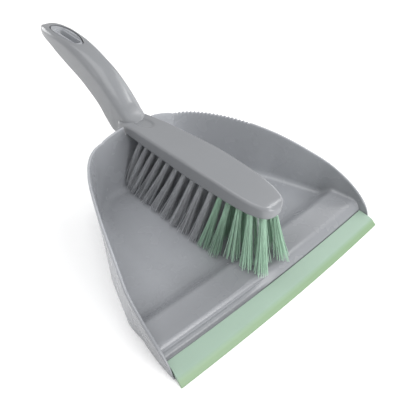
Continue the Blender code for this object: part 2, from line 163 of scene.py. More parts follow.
# Raised rim beside the notch: (half width, top, how far its slanted inner face stands in)
HORNS = (
    (0.0152, 0.0652, 0.0058),
    (0.0178, 0.0652, 0.0058),
    (0.0280, 0.0635, 0.0044),
    (0.0375, 0.0605, 0.0030),
    (0.0395, 0.0590, 0.0),
)
GUSSET_Z = (0.030, 0.048)  # where the slanted face starts and where it stands in most
COMB_START_X = 0.0440
COMB_PITCH = 0.0037
COMB_NOTCH_WIDTH = 0.0018
# Spacing of the wall's sections
PLAIN_STEP = 0.0018
STEP_STEP = 0.0008  # at the floor's step and along the raised rim
GROOVE_STEP = 0.0005
NOSE_STEP = 0.00035  # along the nose and at the notch's corner
COMB_STEP = 0.00030

# Lip
LIP_HALF_WIDTH_FRONT = 0.1100
LIP_HALF_WIDTH_BACK = 0.1081
LIP_BACK = 0.0169

# Pan handle: (distance, lower z, upper z, half width)
PAN_HANDLE = (
    (0.1862, 0.0400, 0.0565, 0.0120),
    (0.1920, 0.0445, 0.0610, 0.0112),
    (0.2000, 0.0550, 0.0705, 0.0090),
    (0.2100, 0.0665, 0.0805, 0.0088),
    (0.2260, 0.0800, 0.0925, 0.0088),
    (0.2430, 0.0890, 0.1000, 0.0088),
    (0.2590, 0.0948, 0.1053, 0.0088),
    (0.2760, 0.0990, 0.1090, 0.0088),
    (0.2900, 0.1015, 0.1108, 0.0088),
    (0.3120, 0.1040, 0.1115, 0.0086),
    (0.3220, 0.1060, 0.1110, 0.0068),
    (0.3270, 0.1070, 0.1100, 0.0040),
)
PAN_HANDLE_CORNER = 0.0022
HANDLE_SECTIONS = 90  # along the pan's handle and along the hollow above it
BOSS_CENTRE = 0.2950
BOSS_HALF = (0.0070, 0.0274)
SLOT_CENTRE = 0.2905
SLOT_LENGTH = 0.0370
SLOT_WIDTH = 0.0058
# Boss and slot from the bottom up: (height from the top of the brush's handle, growth)
BOSS_LEVELS = ((-0.0095, 0.0), (-0.0018, 0.0), (-0.0010, -0.00015), (-0.0006, -0.0005), (-0.0004, -0.0011))
SLOT_LEVELS = (
    (-0.0300, 0.0),
    (-0.0022, 0.0),
    (-0.0018, 0.0002),
    (-0.0016, 0.0015),
    (-0.0009, 0.0016),
    (-0.0003, 0.0020),
    (0.0100, 0.0022),
)

# Brush block: (distance, half width, lower z, upper z, top corner radius)
BLOCK_STATIONS = (
    (0.0251, 0.0004, 0.0612, 0.0628, 0.0003),
    (0.0256, 0.0031, 0.0598, 0.0649, 0.0012),
    (0.0266, 0.0058, 0.0590, 0.0665, 0.0018),
    (0.0285, 0.0085, 0.0585, 0.0677, 0.0022),
    (0.0310, 0.0104, 0.0585, 0.0683, 0.0023),
    (0.0350, 0.0121, 0.0585, 0.0688, 0.0023),
    (0.0420, 0.0141, 0.0585, 0.0695, 0.0023),
    (0.0520, 0.0153, 0.0585, 0.0703, 0.0023),
    (0.0800, 0.0166, 0.0585, 0.0715, 0.0022),
    (0.1000, 0.0170, 0.0585, 0.0717, 0.0022),
    (0.1200, 0.0166, 0.0585, 0.0710, 0.0022),
    (0.1400, 0.0160, 0.0585, 0.0701, 0.0022),
    (0.1600, 0.0153, 0.0583, 0.0695, 0.0022),
    (0.1700, 0.0145, 0.0580, 0.0688, 0.0022),
    (0.1800, 0.0140, 0.0577, 0.0678, 0.0023),
    (0.1900, 0.0139, 0.0576, 0.0665, 0.0024),
    (0.1965, 0.0138, 0.0576, 0.0655, 0.0024),
    (0.1990, 0.0132, 0.0576, 0.0651, 0.0024),
    (0.2006, 0.0118, 0.0577, 0.0647, 0.0022),
    (0.2016, 0.0092, 0.0579, 0.0642, 0.0020),
    (0.2020, 0.0050, 0.0584, 0.0636, 0.0012),
)
# Brush handle, which rises out of the block: the same columns
HANDLE_STATIONS = (
    (0.1835, 0.0012, 0.0600, 0.0660, 0.0006),
    (0.1842, 0.0042, 0.0600, 0.0668, 0.0022),
    (0.1860, 0.0074, 0.0600, 0.0678, 0.0036),
    (0.1890, 0.0099, 0.0600, 0.0695, 0.0050),
    (0.1940, 0.0112, 0.0600, 0.0733, 0.0064),
    (0.1985, 0.0115, 0.0598, 0.0774, 0.0070),
    (0.1993, 0.0116, 0.0510, 0.0781, 0.0071),
    (0.2065, 0.0118, 0.0503, 0.0843, 0.0074),
    (0.2105, 0.0120, 0.0512, 0.0873, 0.0077),
    (0.2140, 0.0120, 0.0535, 0.0899, 0.0078),
    (0.2175, 0.0120, 0.0563, 0.0923, 0.0078),
    (0.2220, 0.0120, 0.0604, 0.0953, 0.0078),
    (0.2300, 0.0120, 0.0682, 0.0997, 0.0078),
    (0.2445, 0.0120, 0.0770, 0.1055, 0.0078),
    (0.2600, 0.0120, 0.0845, 0.1105, 0.0072),
    (0.2780, 0.0120, 0.0908, 0.1142, 0.0060),
    (0.2980, 0.0120, 0.0984, 0.1158, 0.0050),
    (0.3060, 0.0118, 0.1018, 0.1160, 0.0047),
    (0.3150, 0.0113, 0.1046, 0.1160, 0.0045),
    (0.3235, 0.0102, 0.1062, 0.1157, 0.0042),
    (0.3300, 0.0086, 0.1071, 0.1151, 0.0037),
    (0.3350, 0.0065, 0.1077, 0.1142, 0.0030),
    (0.3385, 0.0038, 0.1084, 0.1130, 0.0020),
    (0.3399, 0.0010, 0.1096, 0.1114, 0.0006),
)
# Hollow under the handle, which drops over the pan's handle: (distance, half width, lower z, roof z, corner)
HOLLOW_STATIONS = (
    (0.1800, 0.0120, 0.0500, 0.0612, 0.0010),
    (0.1860, 0.0120, 0.0500, 0.0617, 0.0010),
    (0.1920, 0.0116, 0.0490, 0.0632, 0.0015),
    (0.1960, 0.0106, 0.0450, 0.0676, 0.0025),
    (0.2000, 0.0098, 0.0430, 0.0728, 0.0040),
    (0.2065, 0.0097, 0.0400, 0.0803, 0.0050),
    (0.2140, 0.0098, 0.0430, 0.0872, 0.0055),
    (0.2220, 0.0098, 0.0500, 0.0927, 0.0056),
    (0.2300, 0.0098, 0.0580, 0.0971, 0.0056),
    (0.2445, 0.0098, 0.0670, 0.1029, 0.0056),
    (0.2600, 0.0098, 0.0745, 0.1079, 0.0050),
    (0.2780, 0.0098, 0.0808, 0.1116, 0.0038),
    (0.2980, 0.0098, 0.0884, 0.1132, 0.0028),
    (0.3120, 0.0097, 0.0938, 0.1134, 0.0023),
    (0.3150, 0.0093, 0.0946, 0.1134, 0.0021),
    (0.3235, 0.0081, 0.0962, 0.1131, 0.0018),
    (0.3310, 0.0058, 0.0971, 0.1123, 0.0012),
)
# Spacing of the brush's sections: (nearer to an end than, spacing)
SECTION_STEPS = ((0.002, 0.0002), (0.009, 0.0006), (1.000, 0.0016))
FINE_SECTION = 0.0006  # spacing between the two distances below
BLOCK_FINE = (0.156, 0.202)  # the thumb dish and the block's rear end
HANDLE_FINE = (0.183, 0.222)  # where the handle rises out of the block
HANDLE_CROWN = 0.0014  # how far the middle of the handle's top stands up
OVAL_HOLE_HALF = (0.0081, 0.0285)
# The oval hole widens at the handle's top: (height from the top, growth)
HOLE_LEVELS = (
    (-0.0300, 0.0),
    (-0.0007, 0.0),
    (-0.0003, 0.0001),
    (0.0000, 0.0004),
    (0.0003, 0.0009),
    (0.0100, 0.0010),
)
# Thumb dish: centre distance, half width, half length
DISH = (0.1785, 0.0070, 0.0150)

# Tufts
TUFT_PITCH = 0.010
TUFT_ROWS = (("left", -1, 0.172, 15), ("middle", 0, 0.167, 14), ("right", 1, 0.172, 15))
GREEN_FROM = 0.077  # tufts in front of this distance are green
TUFT_INSET = 0.0056
TUFT_ROOT_Z = 0.0585
SIDE_SPLAY = 0.0105
FRONT_SWEEP = 0.0080  # how far use has swept the foremost tufts to one side
# How far a tuft's tip lies behind its root: (distance of the root, offset)
FAN = (
    (0.032, -0.0105), (0.042, -0.0090), (0.052, -0.0058), (0.062, 0.0030), (0.072, 0.0045),
    (0.082, 0.0070), (0.092, 0.0090), (0.102, 0.0110), (0.112, 0.0140), (0.122, 0.0175),
    (0.132, 0.0195), (0.142, 0.0200), (0.152, 0.0180), (0.162, 0.0140), (0.172, 0.0075),
)
# How far tips are lifted where they press on the back wall's foot: (distance of the root, lift)
TIP_LIFT = ((0.140, 0.0), (0.152, 0.0012), (0.162, 0.0035), (0.172, 0.0065))
TIP_CLEAR = 0.0010  # gap left below the tips
STEP_TOP = 0.0500  # tips in front of this distance stand on the plateau
BACK_BEND = 0.0040  # how far the rearmost tufts bulge back
# How far a tuft's root stands behind its place in the row: (distance, shift)
ROOT_SHIFT = (
    (0.032, 0.0020),
    (0.042, 0.0010),
    (0.052, 0.0000),
    (0.062, -0.0010),
    (0.072, -0.0030),
    (0.082, -0.0045),
)
GOLDEN_ANGLE = 2.399963  # turn between neighbouring threads, in radians
THREAD_SIDES = 5
THREAD_BENDS = 6
THREAD_TAPER = 0.18  # how much thinner a thread is at its tip
ROOT_DEPTH = 0.0025  # how far the threads reach into the block
ROOT_BUNDLE = 0.0018  # half width of a tuft at its root and at its middle
BEND_BUNDLE = 0.0026
WANDER = 0.0009  # scatter of the threads' tips, sideways and in height
RAGGED = 0.0008

# Stage
FLOOR_RADIUS = 3.0
FLOOR_SIDES = 96
# Softboxes: (name, place, width and height, watts)
SOFTBOXES = (
    ("softbox_front", (0.10, -1.00, 0.34), (0.62, 0.60), 7.3),
    ("softbox_right", (1.30, 0.05, 0.70), (1.00, 0.80), 6.0),
    ("softbox_top", (-0.35, 0.25, 1.70), (1.60, 1.60), 17.5),
    ("softbox_ridge", (0.66, -0.18, 0.95), (0.50, 0.06), 1.8),
    ("softbox_edge", (-0.85, 0.55, 0.50), (0.20, 0.50), 0.4),
    ("softbox_back", (-0.25, 1.30, 0.30), (0.60, 0.40), 3.2),
)
AIM = (0.0, 0.0, 0.04)  # the softboxes face this point
CAMERA_AZIMUTH = math.radians(-42.2)
CAMERA_ELEVATION = math.radians(39.4)


def at(distance):
    """World y of a point this far behind the lip's front corners."""
    return LIP_LINE + distance


def clamp(value):
    """The value, held between 0 and 1."""
    return max(0.0, min(1.0, value))


def ease(low, high, value):
    """0 below low, 1 above high, smooth between."""
    share = clamp((value - low) / (high - low))
    return share * share * (3.0 - 2.0 * share)


def between(table, distance):
    """The values of a station table at a distance, straight between its rows."""
    if distance <= table[0][0]:
        return table[0][1:]
    for low, high in zip(table, table[1:]):
        if distance <= high[0]:
            share = (distance - low[0]) / (high[0] - low[0])
            return tuple(a + (b - a) * share for a, b in zip(low[1:], high[1:]))
    return table[-1][1:]


def slope(table, row, column):
    """Slope of a smooth curve through a table's column at one of its rows."""
    if row == 0 or row == len(table) - 1:
        near = (0, 1) if row == 0 else (row - 1, row)
        low, high = table[near[0]], table[near[1]]
        return (high[column] - low[column]) / (high[0] - low[0])
    before = (table[row][column] - table[row - 1][column]) / (table[row][0] - table[row - 1][0])
    after = (table[row + 1][column] - table[row][column]) / (table[row + 1][0] - table[row][0])
    return 0.0 if before * after <= 0.0 else 2.0 * before * after / (before + after)


def smooth(table, distance):
    """The values of a station table at a distance, on smooth curves that never overshoot its rows."""
    if distance <= table[0][0]:
        return table[0][1:]
    if distance >= table[-1][0]:
        return table[-1][1:]
    row = next(i for i in range(len(table) - 1) if distance <= table[i + 1][0])
    low, high = table[row], table[row + 1]
    run = high[0] - low[0]
    t = (distance - low[0]) / run
    values = []
    for column in range(1, len(low)):
        values.append(
            (2 * t**3 - 3 * t**2 + 1) * low[column]
            + (t**3 - 2 * t**2 + t) * run * slope(table, row, column)
            + (3 * t**2 - 2 * t**3) * high[column]
            + (t**3 - t**2) * run * slope(table, row + 1, column)
        )
    return tuple(values)


def evenly(table):
    """Distances at equal steps from a station table's first row to its last."""
    first, last = table[0][0], table[-1][0]
    return [first + (last - first) * step / HANDLE_SECTIONS for step in range(HANDLE_SECTIONS + 1)]


def chain(segments, steps):
    """Points along joined Bezier stretches."""
    points = []
    for segment in segments:
        points += interpolate_bezier(*[Vector(point) for point in segment], steps + 1)[:-1]
    points.append(Vector(segments[-1][-1]))
    return points


def arc(x, z, radius, start, turn, steps):
    """Points of an arc round (x, z), with its start and its turn in right angles."""
    angles = [0.5 * math.pi * (start + turn * step / steps) for step in range(steps + 1)]
    return [(x + radius * math.cos(angle), z + radius * math.sin(angle)) for angle in angles]


def upright(outline, distance):
    """An outline of (x, z) points, stood up across the set."""
    return [(x, at(distance), z) for x, z in outline]


# ---------------------------------------------------------------- colours and materials


def linear(text):
    """Linear RGBA of an sRGB hex colour."""
    parts = [int(text[i : i + 2], 16) / 255.0 for i in (1, 3, 5)]
    return (*[p / 12.92 if p <= 0.04045 else ((p + 0.055) / 1.055) ** 2.4 for p in parts], 1.0)


def per_metre(millimetres):
    """How many times a pattern of this size repeats in a metre."""
    return 1000.0 / millimetres


def add_node(tree, kind, settings=None, links=None):
    """A shader node with its attributes or socket values, and links into its sockets."""
    node = tree.nodes.new(kind)
    for name, value in (settings or {}).items():
        if isinstance(name, str) and hasattr(node, name):
            setattr(node, name, value)
        else:
            node.inputs[name].default_value = value
    for name, source in (links or {}).items():
        tree.links.new(source, node.inputs[name])
    return node


def start_material(name):
    """An empty node material with its Principled shader and object coordinates in metres."""
    material = bpy.data.materials.new(name)
    material.use_nodes = True
    tree = material.node_tree
    shader = tree.nodes["Principled BSDF"]
    place = add_node(tree, "ShaderNodeTexCoord").outputs["Object"]
    return material, tree, shader, place


def feed(tree, shader, colour, roughness, normal, ior):
    """Links a shader's colour, roughness and normal, and sets its IOR."""
    for name, source in (("Base Color", colour), ("Roughness", roughness), ("Normal", normal)):
        tree.links.new(source, shader.inputs[name])
    shader.inputs["IOR"].default_value = ior


def tint(colour, factor):
    """A linear colour made lighter or darker."""
    return (*[min(1.0, part * factor) for part in colour[:3]], 1.0)


def noise(tree, place, size, detail, roughness=0.5):
    """Noise in a pattern this many millimetres across."""
    return add_node(
        tree, "ShaderNodeTexNoise",
        {"Scale": per_metre(size), "Detail": detail, "Roughness": roughness}, {"Vector": place},
    ).outputs["Fac"]


def stretched_noise(tree, place, sizes, detail):
    """Noise in a pattern with these sizes in millimetres along x, y and z."""
    scale = tuple(per_metre(size) for size in sizes)
    mapping = add_node(tree, "ShaderNodeMapping", {"Scale": scale}, {"Vector": place})
    return add_node(
        tree, "ShaderNodeTexNoise", {"Scale": 1.0, "Detail": detail}, {"Vector": mapping.outputs[0]}
    ).outputs["Fac"]


def shades(tree, colour, dark, light, factor):
    """A colour that goes from a darker to a lighter tint of itself."""
    ends = {6: tint(colour, dark), 7: tint(colour, light)}
    return add_node(tree, "ShaderNodeMix", {"data_type": "RGBA", **ends}, {0: factor}).outputs[2]


def varied(tree, value, width, factor):
    """A value that a factor moves within a range round it."""
    return add_node(
        tree, "ShaderNodeMath", {"operation": "MULTIPLY_ADD", 1: width, 2: value - width / 2}, {0: factor}
    ).outputs[0]


def ramp(tree, value, start, end, low, high):
    """Goes from low to high while the value goes from start to end."""
    ends = {"From Min": start, "From Max": end, "To Min": low, "To Max": high}
    return add_node(tree, "ShaderNodeMapRange", ends, {"Value": value}).outputs[0]


def relief(tree, height, strength, depth, links=None):
    """A normal that follows a height."""
    return add_node(
        tree, "ShaderNodeBump", {"Strength": strength, "Distance": depth}, {"Height": height, **(links or {})}
    ).outputs["Normal"]


def moulded_polypropylene(name, colour, roughness, rear_painted_light=1.0):
    """Polypropylene from a polished steel mould: a soft satin gloss, faint flow clouds, a fine grain and, for
    the pan, painted light behind the front step.
    """
    material, tree, shader, place = start_material(name)
    # Flow clouds about 40 mm across change the colour a little and leave a faint wave.
    clouds = noise(tree, place, 40.0, 3.0, 0.55)
    shade = shades(tree, linear(colour), 0.955, 1.045, clouds)
    # Painted light: the plastic is drawn paler behind the front step, to light the pan's shaded rear
    # interior.
    parts = add_node(tree, "ShaderNodeSeparateXYZ", {}, {"Vector": place})
    painted_light_ramp = ramp(tree, parts.outputs[1], at(0.030), at(0.075), 1.0, rear_painted_light)
    painted_light_colour = add_node(tree, "ShaderNodeVectorMath", {"operation": "SCALE"}, {0: shade, "Scale": painted_light_ramp})
    # The real grain is about 0.2 mm. It is drawn 1 mm wide, to show at all.
    grain = noise(tree, place, 1.0, 2.0)
    # Handling leaves patches about 17 mm across a little duller or shinier.
    mixed = varied(tree, roughness, 0.06, noise(tree, place, 16.667, 2.0))
    bump = relief(tree, grain, 0.01, 0.00002)
    wave = relief(tree, clouds, 0.04, 0.0004, {"Normal": bump})
    feed(tree, shader, painted_light_colour.outputs[0], mixed, wave, 1.49)
    return material


def thermoplastic_rubber(name, colour, shaded_edge_colour, roughness):
    """Extruded thermoplastic rubber: a waxy, nearly matt skin, thinner along its front edge, which is drawn
    greener and darker with painted shade for its steeper slope.
    """
    material, tree, shader, place = start_material(name)
    # Draw lines run along the strip, 0.4 mm apart in the real one and 1.25 mm here, to show.
    lines = stretched_noise(tree, place, (83.33, 1.25, 1.25), 2.0)
    # The rubber's shade drifts over about 17 mm.
    body = shades(tree, linear(colour), 0.95, 1.05, noise(tree, place, 16.667, 3.0))
    # The greener front edge, darkened with painted shade for its steeper slope, follows the strip's bow: y
    # minus the bow at this x goes from 0 behind 5.6 mm to 1 in front of 2.4 mm.
    parts = add_node(tree, "ShaderNodeSeparateXYZ", {}, {"Vector": place})
    square = add_node(
        tree, "ShaderNodeMath", {"operation": "MULTIPLY"}, {0: parts.outputs[0], 1: parts.outputs[0]}
    )
    back = add_node(
        tree, "ShaderNodeMath", {"operation": "MULTIPLY_ADD", 1: -LIP_BOW / LIP_HALF_WIDTH_FRONT**2},
        {0: square.outputs[0], 2: parts.outputs[1]},
    )
    edge = ramp(tree, back.outputs[0], at(0.0056) - LIP_BOW, at(0.0024) - LIP_BOW, 0.0, 1.0)
    shade = add_node(
        tree, "ShaderNodeMix", {"data_type": "RGBA", 7: linear(shaded_edge_colour)}, {0: edge, 6: body}
    )
    mixed = varied(tree, roughness, 0.12, lines)
    feed(tree, shader, shade.outputs[2], mixed, relief(tree, lines, 0.15, 0.00008), 1.50)
    shader.inputs["Subsurface Weight"].default_value = 0.05
    shader.inputs["Subsurface Radius"].default_value = (0.0010, 0.0014, 0.0010)
    return material


def bristle_filament(name, colour, roughness):
    """Extruded polyester filament: slightly shiny threads, each a little lighter or darker than the next."""
    material, tree, shader, place = start_material(name)
    # Patches 1.1 mm wide and 33 mm long, two threads wide, give neighbours their own shade.
    threads = stretched_noise(tree, place, (1.1111, 1.1111, 33.333), 1.0)
    shade = shades(tree, linear(colour), 0.60, 1.40, threads)
    mixed = varied(tree, roughness, 0.20, threads)
    feed(tree, shader, shade, mixed, relief(tree, threads, 0.10, 0.00005), 1.57)
    return material


def painted_board(name, colour):
    """Matt white laminate under the set, which keeps the studio light even."""
    material, tree, shader, place = start_material(name)
    # Its white drifts over about 170 mm.
    shade = shades(tree, linear(colour), 0.99, 1.0, noise(tree, place, 166.67, 2.0))
    tree.links.new(shade, shader.inputs["Base Color"])
    shader.inputs["Roughness"].default_value = 0.85
    shader.inputs["Specular IOR Level"].default_value = 0.1
    return material


# ---------------------------------------------------------------- mesh helpers


def mesh_object(name, points, faces, sharp=WALL_SHARP):
    """An object around points and faces, smooth apart from its sharp edges."""
    mesh = bpy.data.meshes.new(name)
    mesh.from_pydata([tuple(point) for point in points], [], faces)
    mesh.validate()
    mesh.update()
    mesh.shade_smooth()
    mesh.set_sharp_from_angle(angle=math.radians(sharp))
    piece = bpy.data.objects.new(name, mesh)
    bpy.context.scene.collection.objects.link(piece)
    return piece


def loft(name, rings, sharp=WALL_SHARP):
    """A closed body through rings of equal point counts, capped at both ends."""
    points = [point for ring in rings for point in ring]
    size = len(rings[0])
    faces = []
    for row in range(len(rings) - 1):
        for column in range(size):
            after = (column + 1) % size
            low, high = row * size, (row + 1) * size
            faces.append((low + column, low + after, high + after, high + column))
    faces.append(tuple(reversed(range(size))))
    faces.append(tuple(range((len(rings) - 1) * size, len(rings) * size)))
    return mesh_object(name, points, faces, sharp)


def combine(target, other, operation, sharp=WALL_SHARP):
    """Applies a Boolean with another object, which is then removed."""
    modifier = target.modifiers.new(operation.lower(), "BOOLEAN")
    modifier.operation = operation
    modifier.solver = "EXACT"
    modifier.object = other
    bpy.context.view_layer.update()
    graph = bpy.context.evaluated_depsgraph_get()
    mesh = bpy.data.meshes.new_from_object(target.evaluated_get(graph))
    target.modifiers.clear()
    target.data = mesh
    bpy.data.objects.remove(other, do_unlink=True)
    mesh.shade_smooth()
    mesh.set_sharp_from_angle(angle=math.radians(sharp))


def join(target, others):
    """Puts other closed bodies into the target's mesh."""
    points = [tuple(vert.co) for vert in target.data.vertices]
    faces = [tuple(face.vertices) for face in target.data.polygons]
    for other in others:
        start = len(points)
        points += [tuple(vert.co) for vert in other.data.vertices]
        faces += [tuple(start + index for index in face.vertices) for face in other.data.polygons]
        bpy.data.objects.remove(other, do_unlink=True)
    name = target.name
    bpy.data.objects.remove(target, do_unlink=True)
    return mesh_object(name, points, faces)


def solid(name, rings, sharp=WALL_SHARP):
    """A loft with its faces turned out, ready for a Boolean."""
    piece = loft(name, rings, sharp)
    outward(piece)
    return piece


def outward(piece):
    """Turns every closed body of a piece to face out."""
    shape = bmesh.new()
    shape.from_mesh(piece.data)
    bmesh.ops.recalc_face_normals(shape, faces=shape.faces)
    shape.to_mesh(piece.data)
    shape.free()


def finish_piece(piece, material, body, nodes):
    """Gives a piece its material in a slot and its body, and hides the nodes that it stands for."""
    piece.data.materials.clear()
    piece.data.materials.append(material)
    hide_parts(*nodes)
    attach(piece, body)


def oval_ring(half, grow, rise, sides=72):
    """An oval round the boss's centre that follows the top of the brush's handle."""
    ring = []
    for side in range(sides):
        turn = 2.0 * math.pi * side / sides
        x = (half[0] + grow) * math.cos(turn)
        y = at(BOSS_CENTRE) + (half[1] + grow) * math.sin(turn)
        ring.append((x, y, handle_top(y) + rise))
    return ring


def slot_ring(grow, rise, sides=16):
    """The hanging slot's outline, which follows the top of the brush's handle too."""
    straight = (SLOT_LENGTH - SLOT_WIDTH) / 2
    radius = SLOT_WIDTH / 2 + grow
    outline = arc(0.0, at(SLOT_CENTRE) + straight, radius, 0, 2, sides)
    outline += arc(0.0, at(SLOT_CENTRE) - straight, radius, 2, 2, sides)
    return [(x, y, handle_top(y) + rise) for x, y in outline]


# ---------------------------------------------------------------- pan


def rim_table():
    """The rim's height as a station table. A tiny shift keeps the distances apart where it stands upright."""
    points = [(point.x, point.y) for point in chain(RIM_PROFILE, 24)]
    return [(d + 1e-7 * i, z) for i, (d, z) in enumerate(points)] + [RIM_BACK]


def station_step(x, distance, comb_end):
    """Spacing of the wall's sections, finer where its shape changes quickly."""
    if distance < 0.0135:
        return NOSE_STEP
    if distance < 0.0235:
        return GROOVE_STEP
    if 0.043 < distance < 0.061:
        return STEP_STEP
    if NOTCH_HALF_WIDTH - 0.0013 < x < NOTCH_HALF_WIDTH + 0.0012:
        return NOSE_STEP
    if x < 0.0410 and distance > BACK_FROM:
        return STEP_STEP
    if distance > comb_end:
        return COMB_STEP
    return PLAIN_STEP


def wall_stations(teeth):
    """Sections along half of the outline, front to back: (point, inward, distance along from the middle)."""
    points = chain(PAN_OUTLINE, 160)
    lengths = [0.0]
    for low, high in zip(points, points[1:]):
        lengths.append(lengths[-1] + (high - low).length)
    total = lengths[-1]
    start_index = next(i for i, point in enumerate(points) if point.x < COMB_START_X and point.y > BACK_FROM)
    comb_from = total - lengths[start_index]
    comb_to = comb_from + COMB_PITCH * teeth
    comb_index = next(i for i, length in enumerate(lengths) if total - length < comb_to)
    comb_end = points[comb_index].y
    stations = []
    index = next(i for i, point in enumerate(points) if point.y >= NOSE_START)
    travelled = lengths[index]
    while travelled < total - 0.0004:
        while lengths[index + 1] < travelled:
            index += 1
        share = (travelled - lengths[index]) / (lengths[index + 1] - lengths[index])
        point = points[index].lerp(points[index + 1], share)
        along = (points[index + 1] - points[index]).normalized()
        stations.append((point, Vector((-along.y, along.x)), total - travelled))
        travelled += station_step(point.x, point.y, comb_end)
    return stations, comb_from


def comb_drop(side, travelled, comb_from, teeth, depth):
    """How far the rim is cut down by the comb."""
    share = (travelled - comb_from) / COMB_PITCH
    if side < 0 or share < -0.5 or share > teeth - 0.5:
        return 0.0
    off_centre = abs(share - round(share)) * COMB_PITCH
    half = COMB_NOTCH_WIDTH / 2
    return depth * (1.0 - ease(half - 0.0003, half + 0.0003, off_centre))


def rim_here(x, distance, table):
    """Height of the rim without its comb."""
    height = smooth(table, distance)[0]
    if distance > BACK_FROM and x < HORNS[-1][0]:
        if x < NOTCH_HALF_WIDTH:
            return NOTCH_Z
        return max(height, smooth(HORNS, x)[0])
    return height


def gusset(side, x, distance, z, height):
    """How far the slanted face below the raised rim stands in, beside the comb only."""
    if side < 0 or distance < BACK_FROM or not NOTCH_HALF_WIDTH <= x < HORNS[-1][0]:
        return 0.0
    low, full = GUSSET_Z
    share = ease(low, full, z) if z < full else clamp((height - z) / (height - full))
    return between(HORNS, x)[1] * share


def wall_section(side, station, rim, floor, settings):
    """Points of one section, from under the floor, round the rim and down to the floor."""
    point, inward, _ = station
    distance = point.y
    lean = smooth(WALL_LEAN, distance)[0]
    thick = settings.wall * between(NOSE_TAPER, distance)[0]
    top, under = floor
    height = max(rim, top + 0.0008)
    fillet = min(between(FILLET, distance)[0], 0.6 * (height - top))
    foot = top + fillet
    edge = min(EDGE_ROUND, thick * 0.3)
    inner = min(0.0015, 0.5 * under)
    radius = thick / 2
    # The upright section: (distance in from the outer face, height)
    outline = arc(thick + inner, under - inner, inner, 1, 1, 3)
    outline += [(thick, min(edge, under)), (thick - edge, 0.0), (edge, 0.0), (0.0, edge)]
    outline += [(0.0, edge + (height - radius - edge) * step / 8) for step in range(1, 9)]
    outline += arc(radius, height - radius, radius, 2, -2, 8)[1:-1]
    outline += [(thick, height - radius + (foot - height + radius) * step / 12) for step in range(13)]
    outline += arc(thick + fillet, foot, fillet, 2, 1, 7)[1:]
    section = []
    for inset, z in outline:
        if inset >= thick * 0.99 and z > GUSSET_Z[0]:
            inset += gusset(side, point.x, distance, z, height)
        moved = point + inward * (inset + lean * (RIM_DATUM - z))
        section.append((side * moved.x, at(moved.y), z))
    return section


def floor_heights(side, point, inward):
    """Top and underside of the floor where a section's foot stands."""
    lean = smooth(WALL_LEAN, point.y)[0]
    reach = 0.0022 + between(FILLET, point.y)[0] + lean * RIM_DATUM
    foot = point.y + inward.y * reach
    profile = PLAIN_PROFILE if side > 0 else FLOOR_PROFILE
    return between(profile, foot)[0], between(UNDER_PROFILE, foot)[0]


def sheet_row(left, right):
    """Points across the floor, swinging forward in the middle. They change from the left foot's height to
    the right foot's where the groove fades out."""
    half = right[0]
    swing = between(FLOOR_SWING, left[1] - LIP_LINE)[0]
    row = []
    for column in range(1, FLOOR_COLUMNS):
        x = half * (2.0 * column / FLOOR_COLUMNS - 1.0)
        z = left[2] + (right[2] - left[2]) * ease(*GROOVE_FADE, x)
        row.append((x, left[1] - swing * (1.0 - (x / half) ** 2), z))
    return row


def pan_shell(settings):
    """The pan's walls, floor and underside as one closed surface."""
    stations, comb_from = wall_stations(settings.teeth)
    table = rim_table()
    points, faces, sections = [], [], {-1: [], 1: []}
    for side in (-1, 1):
        for station in stations:
            point, inward, travelled = station
            rim = rim_here(point.x, point.y, table)
            rim -= comb_drop(side, travelled, comb_from, settings.teeth, settings.comb_depth)
            section = wall_section(side, station, rim, floor_heights(side, point, inward), settings)
            sections[side].append(list(range(len(points), len(points) + len(section))))
            points += section
    size = len(sections[1][0])
    for side in (-1, 1):
        for near, far in zip(sections[side], sections[side][1:]):
            for index in range(size - 1):
                quad = (near[index], near[index + 1], far[index + 1], far[index])
                faces.append(quad if side > 0 else tuple(reversed(quad)))
    right, left = sections[1][-1], sections[-1][-1]
    faces += [(right[i], right[i + 1], left[i + 1], left[i]) for i in range(size - 1)]
    last_row = next(i for i, station in enumerate(stations) if station[0].y > CAP_FROM)
    for end, flip in ((size - 1, False), (0, True)):
        before = None
        for index in range(last_row + 1):
            start, stop = sections[-1][index][end], sections[1][index][end]
            row = [start]
            middle = sheet_row(points[start], points[stop])
            row += list(range(len(points), len(points) + len(middle))) + [stop]
            points += middle
            if before is not None:
                for column in range(FLOOR_COLUMNS):
                    quad = (before[column], before[column + 1], row[column + 1], row[column])
                    faces.append(tuple(reversed(quad)) if flip else quad)
            else:
                front = row if not flip else front + list(reversed(row))
            before = row
        cap = before + [s[end] for s in sections[1][last_row + 1 :]]
        cap += [s[end] for s in reversed(sections[-1][last_row + 1 :])]
        faces.append(tuple(reversed(cap)) if flip else tuple(cap))
    faces.append(tuple(front))
    for side in (-1, 1):
        nose = sections[side][0]
        faces.append(tuple(nose) if side > 0 else tuple(reversed(nose)))
    piece = mesh_object("pan_shell", points, faces)
    outward(piece)
    return piece


def slab(name, profile, x_low, x_high, swing=0.0, steps=1):
    """A side profile carried across the pan."""
    rings = []
    for step in range(steps + 1):
        x = x_low + (x_high - x_low) * step / steps
        shift = swing * (1.0 - (x / LIP_HALF_WIDTH_FRONT) ** 2)
        rings.append([(x, at(distance) - shift, z) for distance, z in profile])
    return loft(name, rings)


def ribs():
    """Stiffening ribs under the floor."""
    made = []
    for index, (x, back) in enumerate(RIBS):
        profile = [(RIB_TOP[0][0], RIB_BASE), *RIB_TOP, (back, RIB_HEIGHT), (back, RIB_BASE)]
        made.append(slab(f"rib_{index}", profile, x - RIB_HALF, x + RIB_HALF))
    for distance, half in CROSS_RIBS:
        front, back = distance - RIB_HALF, distance + RIB_HALF
        profile = [(front, RIB_BASE), (front, RIB_HEIGHT), (back, RIB_HEIGHT), (back, RIB_BASE)]
        made.append(slab(f"cross_rib_{distance}", profile, -half, half))
    return made


